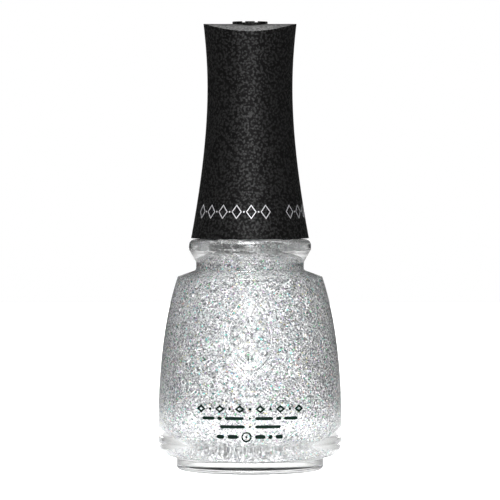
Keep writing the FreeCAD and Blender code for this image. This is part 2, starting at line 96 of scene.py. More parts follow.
def rounded(before, corner, after, radius, steps):
    """Points of the round that softens a corner between two neighbours."""
    corner, back, ahead = Vector(corner), Vector(before), Vector(after)
    back, ahead = (back - corner).normalized(), (ahead - corner).normalized()
    half = back.angle(ahead) / 2
    middle = corner + (back + ahead).normalized() * radius / math.sin(half)
    first = corner + back * radius / math.tan(half)
    last = corner + ahead * radius / math.tan(half)
    from_middle, to_middle = first - middle, last - middle
    sweep = from_middle.angle(to_middle)
    points = []
    for i in range(steps + 1):
        t = i / steps
        a, b = math.sin((1 - t) * sweep) / math.sin(sweep), math.sin(t * sweep) / math.sin(sweep)
        points.append(tuple(middle + from_middle * a + to_middle * b))
    return points


def profile(parts):
    """An outline from points and rounds; a round is (corner, radius, steps)."""
    flat = []
    for part in parts:
        if isinstance(part, list):
            flat += [(point, 0, 0) for point in part]
        else:
            flat.append(part if isinstance(part[0], tuple) else (part, 0, 0))
    points = []
    for i, (corner, radius, steps) in enumerate(flat):
        if radius:
            points += rounded(flat[i - 1][0], corner, flat[i + 1][0], radius, steps)
        else:
            points.append(corner)
    return points


def outside_parts():
    """The bottle's outside from the middle of the base up to the lip."""
    side_foot, side_head = (BODY_RADIUS, BELLY_HEIGHT), (SHOULDER_RADIUS, SHOULDER_HEIGHT)
    side = curve(side_foot, (BODY_RADIUS, BODY_BEND), side_head, 170)
    return [
        (0, RECESS_DEPTH), [(4.0, RECESS_DEPTH), (8.0, RECESS_DEPTH)],
        ((RECESS_RADIUS, RECESS_DEPTH), 0.15, 4),
        ((STANDING_RADIUS, 0.0), 0.1, 4),
        ((FOOT_RADIUS, 0.0), 0.9, 8),
        ((FOOT_RADIUS, FOOT_HEIGHT), 0.5, 6),
        ((BODY_RADIUS, FOOT_HEIGHT), 2.8, 16),
        side_foot, side[:-1],
        (side_head, 0.3, 6),
        line(side_head, (WAIST_RADIUS, WAIST_FOOT), 5)[:-1],
        ((WAIST_RADIUS, WAIST_FOOT), 0.55, 6),
        ((WAIST_RADIUS, WAIST_HEAD), 0.55, 6),
        ((COLLAR_RADIUS, COLLAR_BULGE), 0.8, 6),
        ((COLLAR_RADIUS, COLLAR_HEAD), 1.1, 12),
        [(8.0, COLLAR_HEAD)],
        ((NECK_RADIUS, COLLAR_HEAD), 0.2, 4),
        [(NECK_RADIUS, 45.0), (NECK_RADIUS, THREADED_FOOT)],
        line((NECK_RADIUS, THREADED_FOOT), (NECK_RADIUS, THREADED_HEAD), 40),
        ((NECK_RADIUS, LIP_HEIGHT), LIP_ROUND, 6),
    ]


def inside_parts(swell=0.0, top=None):
    """The bottle's inside from the top down to the middle of the floor; swell moves it outward."""
    bore, hollow, floor = BORE_RADIUS + swell, HOLLOW_RADIUS + swell, HOLLOW_FLOOR - swell
    throat = (THROAT_RADIUS + swell, THROAT_HEIGHT)
    shoulder = (INNER_SHOULDER_RADIUS + swell, INNER_SHOULDER_HEIGHT)
    belly, bowl = (hollow, floor + HOLLOW_BELLY), (hollow - BOWL_STEP, floor + BOWL_RISE)
    start = [((BORE_RADIUS, LIP_HEIGHT), LIP_ROUND, 6), [(bore, 48.0), (bore, 45.0)]]
    if top is not None:
        start = [(0, top - 0.25), [(bore - 1.2, top - 0.2), (bore - 0.3, top - 0.05)], (bore, top)]
    return start + [
        (bore, BORE_FOOT),
        curve((bore, BORE_FOOT), (throat[0], THROAT_BEND), throat, 16),
        curve(throat, (shoulder[0] - INNER_SHOULDER_LEAD, INNER_SHOULDER_BEND), shoulder, 10),
        curve(shoulder, (hollow, HOLLOW_BEND), belly, 50),
        curve(belly, (hollow, floor + BOWL_BEND), bowl, 10),
        curve(bowl, (hollow - BOWL_FLAT, floor), (BOWL_FLAT, floor), 16),
        [(2.5, floor), (0, floor)],
    ]


def outer_wall():
    """The outside of the glass below its lip, for the marks that lie on it."""
    return profile(outside_parts()[:-1])


# ---------------------------------------------------------------- mesh making


def new_piece(name, points, faces, finish, body, smooth_angle=40):
    """A mesh piece in metres from millimetre points, smooth but for edges past an angle."""
    mesh = bpy.data.meshes.new(name)
    mesh.from_pydata([[c * MM for c in p] for p in points], [], faces)
    mesh.polygons.foreach_set("use_smooth", [True] * len(mesh.polygons))
    mesh.set_sharp_from_angle(angle=math.radians(smooth_angle))
    mesh.materials.append(finish)
    piece = bpy.data.objects.new(name, mesh)
    bpy.context.scene.collection.objects.link(piece)
    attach(piece, body)
    return piece


def turned_mesh(outline, angles, shape=None):
    """Points and faces of an outline turned about Z; points on the axis are shared."""
    points, rows = [], []
    for radius, height in outline:
        if radius < 1e-6:
            rows.append([len(points)] * len(angles))
            points.append((0, 0, height))
            continue
        rows.append(range(len(points), len(points) + len(angles)))
        for angle in angles:
            r = shape(radius, height, angle) if shape else radius
            points.append((r * math.cos(angle), r * math.sin(angle), height))
    faces = []
    count = len(angles)
    for low, high in zip(rows, rows[1:]):
        for i in range(count):
            j = (i + 1) % count
            corners = [low[i], low[j], high[j], high[i]]
            corners = [c for k, c in enumerate(corners) if c not in corners[:k]]
            if len(corners) > 2:
                faces.append(corners)
    return points, faces


def round_angles(count):
    """Equal steps once round."""
    return [2 * math.pi * i / count for i in range(count)]


def front_angles(span, fine, coarse):
    """Angles all round, closer together within span on each side of the printed side."""
    near = [PRINTED_SIDE - span + 2 * span * i / fine for i in range(fine)]
    far = [PRINTED_SIDE + span + (2 * math.pi - 2 * span) * i / coarse for i in range(coarse)]
    return near + far


def ease(low, high, value):
    """A smooth step from 0 at low to 1 at high."""
    t = min(1.0, max(0.0, (value - low) / (high - low)))
    return t * t * (3 - 2 * t)


# ---------------------------------------------------------------- bottle

MOTIF_MIDDLE, MOTIF_HALF_WIDTH, MOTIF_HALF_HEIGHT = 23.9, 4.7, 9.6
MOTIF_STROKE, MOTIF_RISE = 0.85, 0.42


def leaf_strokes():
    """Open lines that draw an upright leaf: two sides, a midrib and three pairs of veins."""
    wide, tall = MOTIF_HALF_WIDTH, MOTIF_HALF_HEIGHT
    strokes = [[(0, -tall), (0, -tall * 0.4), (0, tall * 0.45)]]
    for side in (-1, 1):
        foot, tip, bulge = (0, -tall * 0.62), (0, tall), (side * wide * 2, tall * 0.06)
        strokes.append([foot] + curve(foot, bulge, tip, 16))
        for up in (-0.34, 0.0, 0.34):
            start, end = (0, tall * (up - 0.09)), (side * wide * 0.60, tall * (up + 0.16))
            strokes.append([start] + curve(start, (side * wide * 0.38, tall * up), end, 4))
    return strokes


MOTIF_LINES = leaf_strokes()


def line_distance(across, up, points):
    """Distance from a place to the nearest stretch of an open line."""
    best = 99.0
    for (x0, y0), (x1, y1) in zip(points, points[1:]):
        dx, dy = x1 - x0, y1 - y0
        t = ((across - x0) * dx + (up - y0) * dy) / (dx * dx + dy * dy)
        t = min(1.0, max(0.0, t))
        best = min(best, math.hypot(across - x0 - t * dx, up - y0 - t * dy))
    return best


def motif_rise(radius, height, angle):
    """Height of the raised leaf at a place on the wall."""
    turn = (angle - PRINTED_SIDE + math.pi) % (2 * math.pi) - math.pi
    across, up = turn * radius, height - MOTIF_MIDDLE
    if abs(across) > MOTIF_HALF_WIDTH + 1 or abs(up) > MOTIF_HALF_HEIGHT + 1:
        return 0.0
    gap = min(line_distance(across, up, points) for points in MOTIF_LINES)
    ridge = 0.5 + 0.5 * math.cos(math.pi * min(1.0, gap / MOTIF_STROKE))
    room = (BODY_RADIUS - radius) / MOTIF_RISE
    return MOTIF_RISE * ridge * min(1.0, room)


def thread_rise(height, angle):
    """Height of the screw thread on the neck."""
    turn = (angle % (2 * math.pi)) / (2 * math.pi)
    best = 0.0
    for lap in range(-1, 4):
        along = turn + lap
        if not 0 <= along <= THREAD_TURNS:
            continue
        off = abs(height - THREAD_START - along * THREAD_PITCH)
        ends = ease(0, THREAD_FADE, along) * ease(0, THREAD_FADE, THREAD_TURNS - along)
        best = max(best, THREAD_DEPTH * ends * (1 - ease(THREAD_HALF_CREST, THREAD_HALF_BASE, off)))
    return best


def glass_shape(radius, height, angle):
    """Radius of the glass with its thread and its leaf added."""
    if abs(radius - NECK_RADIUS) < 0.02 and height > 45:
        return radius + thread_rise(height, angle)
    if radius > 13.2 and height > BELLY_HEIGHT:
        return radius + motif_rise(radius, height, angle)
    return radius


def make_bottle(finishes):
    """The hollow glass, and the lacquer that wets its inside up to the foot of the bore."""
    outline = profile(outside_parts() + inside_parts())
    angles = front_angles(math.radians(23), fine=92, coarse=100)
    points, faces = turned_mesh(outline, angles, glass_shape)
    bottle = new_piece("bottle_glass", points, faces, finishes["clear_glass"], "bottle", 60)
    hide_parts("glass_bottle")
    outline = profile(inside_parts(LACQUER_SWELL, LACQUER_TOP))
    points, faces = turned_mesh(outline, round_angles(128))
    lacquer = new_piece(
        "lacquer_fill", points, faces, finishes["glitter_lacquer"], "bottle", 60
    )
    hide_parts("lacquer")


# ---------------------------------------------------------------- printed marks


MARK_RISE, MARK_ROOT = 0.012, -0.02
DIAMOND_WIDTH, DIAMOND_STROKE = 1.9, 0.36
DIAMONDS_START, DIAMONDS_STEP, DIAMONDS_FOOT, DIAMONDS_HEAD = -9.4, 3.76, 11.5, 13.0
RIGHT_START = 0.9
# Each row: where its left half starts, the left lengths, the right lengths, foot, head, gap.
DASH_ROWS = (
    (-9.1, (2.5, 0.9, 3.6), (3.4, 1.0, 2.8), 10.25, 10.85, 0.5),
    (-5.6, (4.7,), (4.8,), 8.75, 9.35, 0.5),
    (-6.2, (1.5, 2.0), (1.9, 0.8, 1.4), 6.85, 7.6, 0.55),
)
RING_ACROSS, RING_MIDDLE, RING_OUTER, RING_INNER = -0.65, 7.2, 0.95, 0.64


def wall_radius(outline, height):
    """Radius of an outside wall at a height."""
    for (r0, z0), (r1, z1) in zip(outline, outline[1:]):
        if min(z0, z1) <= height <= max(z0, z1) and abs(z1 - z0) > 1e-9:
            return r0 + (r1 - r0) * (height - z0) / (z1 - z0)
    return outline[-1][0]


def pill(across, low, high, width):
    """A mark's columns: (across, low, high), for an upright or lying bar with soft ends."""
    soft = min(width, high - low) / 2
    columns = []
    for i in range(9):
        t = -math.cos(math.pi * i / 8)
        edge = width / 2 - soft
        u = t * width / 2
        inset = soft - math.sqrt(max(0.0, soft ** 2 - max(0.0, abs(u) - edge) ** 2))
        columns.append((across + u, low + inset * 0.98, high - inset * 0.98))
    return columns


def diamond(across, low, high, width, stroke):
    """An outlined diamond, as two bent strips of columns."""
    middle, half = (low + high) / 2, (high - low) / 2
    rim = stroke * math.hypot(1, 2 * half / width)
    strips = []
    for sign in (1, -1):
        columns = []
        for i in range(13):
            u = width * (i / 12 - 0.5)
            outer = half * (1 - abs(u) / (width / 2))
            inner = max(0.0, outer - rim)
            a, b = middle + sign * inner, middle + sign * outer
            columns.append((across + u, min(a, b), max(a, b) + 1e-4))
        strips.append(columns)
    return strips


def ring(across, middle, outer, inner):
    """A round ring, as two strips of columns."""
    strips = []
    for sign in (1, -1):
        columns = []
        for i in range(25):
            u = -outer * math.cos(math.pi * i / 24)
            low = math.sqrt(max(0.0, inner ** 2 - u ** 2))
            high = math.sqrt(max(0.0, outer ** 2 - u ** 2))
            a, b = middle + sign * low, middle + sign * high
            columns.append((across + u, min(a, b), max(a, b) + 1e-4))
        strips.append(columns)
    return strips


def dashes(start, lengths, low, high, gap):
    """Lying bars of several lengths, one after another along the wall."""
    strips = []
    for length in lengths:
        strips.append(pill(start + length / 2, low, high, length))
        start += length + gap
    return strips


def printed_marks(name, strips, outline, print_radius, finish, body):
    """Thin marks laid on a round wall; across is measured along the wall."""
    points, faces = [], []
    for columns in strips:
        first = len(points)
        for across, low, high in columns:
            angle = PRINTED_SIDE + across / print_radius
            for height in (low, high):
                for lift in (MARK_RISE, MARK_ROOT):
                    r = wall_radius(outline, height) + lift
                    points.append((r * math.cos(angle), r * math.sin(angle), height))
        for i in range(len(columns) - 1):
            a, b = first + 4 * i, first + 4 * i + 4
            faces += [
                (a, b, b + 2, a + 2), (a + 1, a + 3, b + 3, b + 1),
                (a, a + 1, b + 1, b), (a + 2, b + 2, b + 3, a + 3),
            ]
        a = first + 4 * (len(columns) - 1)
        faces += [(first, first + 2, first + 3, first + 1), (a, a + 1, a + 3, a + 2)]
    new_piece(name, points, faces, finish, body)


def print_bottle(finishes):
    """A row of diamonds, two rows of dashes, and a last row about a ring."""
    strips = []
    for i in range(6):
        across = DIAMONDS_START + i * DIAMONDS_STEP
        strips += diamond(across, DIAMONDS_FOOT, DIAMONDS_HEAD, DIAMOND_WIDTH, DIAMOND_STROKE)
        if i < 5:
            strips.append(pill(across + DIAMONDS_STEP / 2, 12.0, 12.5, 0.5))
    for left_start, left, right, low, high, gap in DASH_ROWS:
        strips += dashes(left_start, left, low, high, gap)
        strips += dashes(RIGHT_START, right, low, high, gap)
    for middle in (10.55, 9.05):
        strips.append(pill(0.0, middle - 0.2, middle + 0.2, 0.4))
    strips += ring(RING_ACROSS, RING_MIDDLE, RING_OUTER, RING_INNER)
    strips.append(pill(RING_ACROSS, 7.0, 7.4, 0.4))
    ink = finishes["dark_ink"]
    printed_marks("bottle_print", strips, outer_wall(), BODY_RADIUS, ink, "bottle")


# ---------------------------------------------------------------- cap

CAP_FOOT, CAP_RIDGE = 42.82, 82.38
CAP_MOUTH_RADIUS, CAP_WAIST_RADIUS, CAP_WAIST, CAP_TOP_RADIUS = 10.9, 7.86, 70.65, 8.6
CAP_LOWER_BEND, CAP_UPPER_BEND = 59.15, 76.1
BAND_MIDDLE, BAND_FOOT, BAND_HEAD, BAND_STROKE = 47.6, 46.5, 49.15, 0.15
BAND_STEP, BAND_STARTS, BAND_LEAD = 15.4, (-67.8, 39.0, 145.8), 7.5


def cap_wall():
    """The sleeve's outside from its mouth, past its waist, up to the ridge."""
    start = (CAP_MOUTH_RADIUS, CAP_FOOT)
    waist = (CAP_WAIST_RADIUS, CAP_WAIST)
    return [start] + curve(start, (CAP_WAIST_RADIUS, CAP_LOWER_BEND), waist, 60) + curve(
        waist, (CAP_WAIST_RADIUS, CAP_UPPER_BEND), (CAP_TOP_RADIUS, CAP_RIDGE), 20
    )


def print_cap(finishes):
    """Three runs of six linked diamonds round the sleeve's foot."""
    radius = wall_radius(cap_wall(), BAND_MIDDLE)
    strips = []
    for band_start in BAND_STARTS:
        for i in range(6):
            across = math.radians(band_start + BAND_LEAD + i * BAND_STEP) * radius
            strips += diamond(across, BAND_FOOT, BAND_HEAD, DIAMOND_WIDTH, BAND_STROKE)
            if i < 5:
                strips.append(pill(across + math.radians(BAND_STEP / 2) * radius, 47.68, 47.98, 0.3))
    ink = finishes["silver_print"]
    printed_marks("cap_print", strips, cap_wall(), radius, ink, "cap")


# ---------------------------------------------------------------- brush


FILAMENTS, FILAMENT_SIDES, FILAMENT_RINGS = 320, 5, 9
TUFT_ROOT, TUFT_TIP, TUFT_RADIUS = 26.0, 5.9, 1.12
FILAMENT_RADIUS, GOLDEN_TURN = 0.055, 2.39996


def make_filaments(finishes):
    """About three hundred tapered filaments that gather to a soft point."""
    rng = random.Random(21)
    points, faces = [], []
    sides, rings = FILAMENT_SIDES, FILAMENT_RINGS
    for number in range(FILAMENTS):
        spread = math.sqrt((number + 0.5) / FILAMENTS)
        turn = number * GOLDEN_TURN
        length = (TUFT_ROOT - TUFT_TIP) * (1 - 0.10 * spread ** 2 * rng.uniform(0.4, 1.0))
        first = len(points)
        for k in range(rings):
            t = k / (rings - 1)
            belly = 0.42 * math.sin(math.pi * min(1.0, t * 1.15))
            gather = 0.45 * max(0.0, t - 0.55) ** 1.4 * 2.2
            r = TUFT_RADIUS * spread * (1 + belly - gather)
            thick = FILAMENT_RADIUS * (1 - 0.6 * ease(0.8, 1.0, t))
            x, y, z = r * math.cos(turn), r * math.sin(turn), TUFT_ROOT - length * t
            for side in range(sides):
                a = 2 * math.pi * side / sides
                points.append((x + thick * math.cos(a), y + thick * math.sin(a), z))
        for k in range(rings - 1):
            for side in range(sides):
                a, b = first + k * sides + side, first + k * sides + (side + 1) % sides
                faces.append((a, a + sides, b + sides, b))
        faces.append(tuple(range(first, first + sides)))
        faces.append(tuple(reversed(range(len(points) - sides, len(points)))))
    tuft = new_piece("brush_filaments", points, faces, finishes["wet_bristle"], "brush")
    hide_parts("bristle_tuft")


# ---------------------------------------------------------------- finishes


def add(tree, kind, sockets=None, **settings):
    """A node with its settings; a socket value that is another socket is linked."""
    node = tree.nodes.new(kind)
    for name, value in settings.items():
        setattr(node, name, value)
    for key, value in (sockets or {}).items():
        if isinstance(value, bpy.types.NodeSocket):
            tree.links.new(value, node.inputs[key])
        else:
            node.inputs[key].default_value = value
    return node


def math_node(tree, operation, a, b=0.0):
    """A maths node on two values; gives its output."""
    return add(tree, "ShaderNodeMath", {0: a, 1: b}, operation=operation).outputs[0]


def vector_math(tree, operation, a, b):
    """A vector maths node; gives its output."""
    return add(tree, "ShaderNodeVectorMath", {0: a, 1: b}, operation=operation).outputs[0]


def ramp(tree, value, stops, mode="LINEAR"):
    """A colour ramp from (place, grey or colour) stops."""
    node = add(tree, "ShaderNodeValToRGB", {"Fac": value})
    node.color_ramp.interpolation = mode
    elements = node.color_ramp.elements
    while len(elements) < len(stops):
        elements.new(0.5)
    for element, (place, shade) in zip(elements, stops):
        element.position = place
        element.color = (*shade, 1) if isinstance(shade, tuple) else (shade, shade, shade, 1)
    return node.outputs["Color"]


def blend(tree, share, first, second, kind="MIX"):
    """A colour mix of two colours by a share."""
    node = add(tree, "ShaderNodeMix", data_type="RGBA", blend_type=kind)
    for key, value in ((0, share), (6, first), (7, second)):
        if isinstance(value, bpy.types.NodeSocket):
            tree.links.new(value, node.inputs[key])
        else:
            node.inputs[key].default_value = value
    return node.outputs[2]


def new_group(name, inputs, outputs):
    """An empty node group with named sockets: (tree, input sockets, output node)."""
    tree = bpy.data.node_groups.new(name, "ShaderNodeTree")
    for label, kind, value in inputs:
        socket = tree.interface.new_socket(name=label, in_out="INPUT", socket_type=kind)
        socket.default_value = value
    for label, kind in outputs:
        tree.interface.new_socket(name=label, in_out="OUTPUT", socket_type=kind)
    return tree, tree.nodes.new("NodeGroupInput").outputs, tree.nodes.new("NodeGroupOutput").inputs


def place_group(tree, group, sockets):
    """A group in a material's tree, with its inputs set; gives its outputs."""
    node = tree.nodes.new("ShaderNodeGroup")
    node.node_tree = group
    for name, value in sockets.items():
        if isinstance(value, bpy.types.NodeSocket):
            tree.links.new(value, node.inputs[name])
        else:
            node.inputs[name].default_value = value
    return node.outputs


def flake_group():
    """Flat flakes held at random tilts: two chance values and a tilted normal."""
    tree, given, out = new_group("glitter_flakes", [
        ("Flakes per metre", "NodeSocketFloat", 4000.0),
        ("Tilt", "NodeSocketFloat", 0.5),
    ], [("Chance", "NodeSocketFloat"), ("Pick", "NodeSocketFloat"), ("Normal", "NodeSocketVector")])
    place = add(tree, "ShaderNodeTexCoord").outputs["Object"]
    cells = add(tree, "ShaderNodeTexVoronoi", {"Vector": place, "Scale": given["Flakes per metre"]})
    parts = add(tree, "ShaderNodeSeparateColor", {"Color": cells.outputs["Color"]}).outputs
    tree.links.new(parts["Red"], out["Chance"])
    tree.links.new(parts["Green"], out["Pick"])
    again = add(tree, "ShaderNodeTexWhiteNoise", {"Vector": cells.outputs["Color"]}, noise_dimensions="3D")
    centred = vector_math(tree, "SUBTRACT", again.outputs["Color"], (0.5, 0.5, 0.5))
    scaled = add(
        tree, "ShaderNodeVectorMath", {0: centred, "Scale": given["Tilt"]}, operation="SCALE"
    ).outputs[0]
    facing = add(tree, "ShaderNodeNewGeometry").outputs["Normal"]
    tilted = vector_math(tree, "ADD", facing, scaled)
    level = add(tree, "ShaderNodeVectorMath", {0: tilted}, operation="NORMALIZE").outputs[0]
    tree.links.new(level, out["Normal"])
    return tree


def grain_group():
    """A moulded or sprayed grain: height for a bump, and patches for shade and gloss."""
    tree, given, out = new_group("moulded_grain", [
        ("Grains per metre", "NodeSocketFloat", 2500.0),
        ("Patches per metre", "NodeSocketFloat", 90.0),
    ], [("Height", "NodeSocketFloat"), ("Patch", "NodeSocketFloat")])
    place = add(tree, "ShaderNodeTexCoord").outputs["Object"]
    fine = add(tree, "ShaderNodeTexNoise", {
        "Vector": place, "Scale": given["Grains per metre"], "Detail": 3.0, "Roughness": 0.55,
    }).outputs["Fac"]
    pebbles = add(tree, "ShaderNodeTexVoronoi", {
        "Vector": place, "Scale": given["Grains per metre"],
    }, feature="SMOOTH_F1").outputs["Distance"]
    patches = add(tree, "ShaderNodeTexNoise", {
        "Vector": place, "Scale": given["Patches per metre"], "Detail": 4.0,
    }).outputs["Fac"]
    dips = math_node(tree, "MULTIPLY", pebbles, 0.8)
    tree.links.new(math_node(tree, "SUBTRACT", fine, dips), out["Height"])
    tree.links.new(patches, out["Patch"])
    return tree


def new_finish(name):
    """A material with nodes: (material, tree, its Principled shader)."""
    finish = bpy.data.materials.new(name)
    finish.use_nodes = True
    tree = finish.node_tree
    return finish, tree, tree.nodes["Principled BSDF"]


def set_plain(shader, values):
    """Set a shader's inputs by name."""
    for name, value in values.items():
        shader.inputs[name].default_value = value


def glass_finish(groups):
    """Clear flint glass with the slight waviness of a moulded wall."""
    finish, tree, shader = new_finish("clear_glass")
    set_plain(shader, {
        "Base Color": (0.985, 0.992, 0.988, 1), "Roughness": 0.0, "IOR": 1.5, "Transmission Weight": 1.0,
    })
    grain = place_group(tree, groups["grain"], {"Grains per metre": 160.0, "Patches per metre": 60.0})
    bump = add(tree, "ShaderNodeBump", {"Height": grain["Patch"], "Strength": 0.05, "Distance": 0.0002})
    tree.links.new(bump.outputs[0], shader.inputs["Normal"])
    return finish


# Heights in metres between which the lacquer goes from plain glitter to a lighter grey, and how much of it:
# painted light that brightens the lacquer's floor and its neck, where little lamp light reaches.
FLOOR_BRIGHTENING_LOW, FLOOR_BRIGHTENING_HIGH, FLOOR_BRIGHTENING_SHARE = 0.0044, 0.0062, 0.70
NECK_BRIGHTENING_LOW, NECK_BRIGHTENING_HIGH, NECK_BRIGHTENING_SHARE = 0.0388, 0.0412, 0.60


def lacquer_finish(groups):
    """Silver glitter of two sizes with a few coloured flakes, with painted light that makes it lighter at
    the floor and in the neck.
    """
    finish, tree, shader = new_finish("glitter_lacquer")
    fine = place_group(tree, groups["flakes"], {"Flakes per metre": 7000.0, "Tilt": 0.8})
    bold = place_group(tree, groups["flakes"], {"Flakes per metre": 4300.0, "Tilt": 1.1})
    silver = ramp(tree, fine["Chance"], [(0.0, 0.22), (0.3, 0.46), (0.6, 0.80), (1.0, 0.96)])
    bright = ramp(tree, bold["Chance"], [
        (0.0, (0.22, 0.23, 0.24)), (0.30, (0.55, 0.56, 0.57)), (0.52, (0.97, 0.97, 0.98)), (1.0, (1, 1, 1)),
    ])
    tint = ramp(tree, bold["Pick"], [
        (0.0, (1, 1, 1)), (0.55, (0.95, 0.97, 1.0)), (0.70, (1.0, 0.95, 0.98)),
        (0.82, (0.93, 1.0, 0.97)), (0.925, (0.25, 0.95, 0.85)), (0.940, (0.35, 1.0, 0.50)),
        (0.946, (0.98, 0.70, 0.95)), (0.960, (0.80, 0.70, 1.0)), (0.975, (1.0, 0.96, 0.55)),
        (0.988, (1.0, 0.62, 0.55)), (0.994, (0.50, 0.75, 1.0)),
    ], "CONSTANT")
    flakes = blend(tree, 1.0, silver, bright, "MULTIPLY")
    spread = blend(tree, 1.0, flakes, tint, "MULTIPLY")
    place = add(tree, "ShaderNodeTexCoord").outputs["Object"]
    height = add(tree, "ShaderNodeSeparateXYZ", {"Vector": place}).outputs["Z"]
    # Painted light: towards the floor and up in the neck the glitter colour is mixed with a light grey, so
    # that these dim places look lit.
    painted_floor_light = add(tree, "ShaderNodeMapRange", {
        "Value": height, "From Min": FLOOR_BRIGHTENING_LOW, "From Max": FLOOR_BRIGHTENING_HIGH,
        "To Min": FLOOR_BRIGHTENING_SHARE, "To Max": 0.0,
    }).outputs[0]
    painted_neck_light = add(tree, "ShaderNodeMapRange", {
        "Value": height, "From Min": NECK_BRIGHTENING_LOW, "From Max": NECK_BRIGHTENING_HIGH,
        "To Min": 0.0, "To Max": NECK_BRIGHTENING_SHARE,
    }).outputs[0]
    painted_light_share = math_node(tree, "MAXIMUM", painted_floor_light, painted_neck_light)
    # The light grey mixed in here is painted light, not a denser glitter.
    colour = blend(tree, painted_light_share, spread, (0.96, 0.96, 0.97, 1))
    tree.links.new(colour, shader.inputs["Base Color"])
    tree.links.new(bold["Normal"], shader.inputs["Normal"])
    metal = ramp(tree, bold["Chance"], [(0.0, 0.15), (0.6, 0.35), (0.8, 0.8)])
    tree.links.new(metal, shader.inputs["Metallic"])
    gloss = ramp(tree, bold["Pick"], [(0.0, 0.5), (1.0, 0.35)])
    tree.links.new(gloss, shader.inputs["Roughness"])
    shader.inputs["Specular IOR Level"].default_value = 0.2
    return finish


PATCHES_PER_METRE = 90.0


def grained_finish(name, groups, colours, gloss, grains, depth, metallic, specular):
    """A solid material with its own grain: colours and gloss are (low, high) over the patches."""
    finish, tree, shader = new_finish(name)
    grain = place_group(tree, groups["grain"], {
        "Grains per metre": grains, "Patches per metre": PATCHES_PER_METRE,
    })
    colour = ramp(tree, grain["Patch"], [(0.3, colours[0]), (0.7, colours[1])])
    shine = ramp(tree, grain["Patch"], [(0.3, gloss[0]), (0.7, gloss[1])])
    bump = add(tree, "ShaderNodeBump", {"Height": grain["Height"], "Strength": 0.6, "Distance": depth * MM})
    tree.links.new(colour, shader.inputs["Base Color"])
    tree.links.new(shine, shader.inputs["Roughness"])
    tree.links.new(bump.outputs[0], shader.inputs["Normal"])
    shader.inputs["Metallic"].default_value = metallic
    shader.inputs["Specular IOR Level"].default_value = specular
    return finish


def soft_touch_finish(groups):
    """Black rubbery coat with a fine sprayed grain whose tops catch the light."""
    finish, tree, shader = new_finish("soft_touch_black")
    grain = place_group(tree, groups["grain"], {"Grains per metre": 2300.0, "Patches per metre": 140.0})
    tops = ramp(tree, grain["Height"], [(0.10, 0.0), (0.36, 1.0)])
    colour = ramp(tree, tops, [(0.0, 0.0019), (1.0, 0.030)])
    shine = ramp(tree, grain["Patch"], [(0.3, 0.38), (0.7, 0.46)])
    bump = add(tree, "ShaderNodeBump", {"Height": grain["Height"], "Strength": 0.8, "Distance": 0.10 * MM})
    tree.links.new(colour, shader.inputs["Base Color"])
    tree.links.new(tops, shader.inputs["Metallic"])
    tree.links.new(shine, shader.inputs["Roughness"])
    tree.links.new(bump.outputs[0], shader.inputs["Normal"])
    shader.inputs["Specular IOR Level"].default_value = 0.05
    return finish


def make_finishes():
    """Every material, by name."""
    groups = {"flakes": flake_group(), "grain": grain_group()}
    finishes = {
        "clear_glass": glass_finish(groups), "glitter_lacquer": lacquer_finish(groups),
        "soft_touch_black": soft_touch_finish(groups),
    }
    # Name, colours, roughness, grains per metre, grain depth in mm, metallic, specular level.
    solid = [
        ("silver_print", ((0.36, 0.36, 0.38), (0.46, 0.46, 0.48)), (0.42, 0.55), 5000, 0.01, 0.5, 0.5),
        ("dark_ink", ((0.002, 0.007, 0.005), (0.004, 0.011, 0.008)), (0.6, 0.75), 5000, 0.004, 0, 0.05),
        ("closure_black", ((0.02, 0.02, 0.02), (0.03, 0.03, 0.03)), (0.35, 0.45), 1200, 0.01, 0, 0.3),
        ("stem_black", ((0.012, 0.012, 0.013), (0.02, 0.02, 0.022)), (0.12, 0.25), 700, 0.01, 0, 0.3),
        ("liner_foam", ((0.78, 0.78, 0.76), (0.86, 0.86, 0.84)), (0.8, 0.95), 6000, 0.05, 0, 0.3),
        ("polished_steel", ((0.55, 0.56, 0.57), (0.66, 0.67, 0.68)), (0.12, 0.22), 900, 0.003, 1, 0.5),
        ("label_paper", ((0.80, 0.79, 0.77), (0.88, 0.87, 0.85)), (0.6, 0.75), 4000, 0.01, 0, 0.3),
        ("wet_bristle", ((0.02, 0.02, 0.022), (0.06, 0.06, 0.065)), (0.25, 0.4), 3000, 0.01, 0, 0.3),
    ]
    for name, *values in solid:
        finishes[name] = grained_finish(name, groups, *values)
    return finishes


def dress_nodes(finishes):
    """Better materials on the pieces that keep their own shape."""
    worn = {
        "cap_shell": "soft_touch_black", "cap_lid": "soft_touch_black", "inner_cap": "closure_black",
        "brush_stem": "stem_black", "seal_liner": "liner_foam", "mixing_ball_a": "polished_steel",
        "mixing_ball_b": "polished_steel", "bristle_anchor": "polished_steel", "base_label": "label_paper",
    }
    for node, name in worn.items():
        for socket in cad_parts[node].material_slots:
            socket.material = finishes[name]


# ---------------------------------------------------------------- studio


# Name, place, width and height in metres, watts.
LAMPS = (
    ("front_light", (0, -1.15, 0.30), 0.8, 0.8, 16),
    ("sheen_light", (0, -1.14, 0.31), 0.8, 0.8, 9),
    ("top_light", (-0.06, -0.32, 0.85), 0.8, 0.8, 19),
    ("back_light", (0, 0.62, 0.62), 0.28, 0.32, 1.4),
)
FLOOR_REACH, FLOOR_SIDES = 0.75, 96
CAMERA_PLACE, CAMERA_TARGET, CAMERA_LENS, CAMERA_SENSOR = (0, -0.703, 0.0596), (0, 0, 0.0406), 273.6, 36
DIM, WHITE = (0.06, 0.06, 0.06, 1), (1, 1, 1, 1)


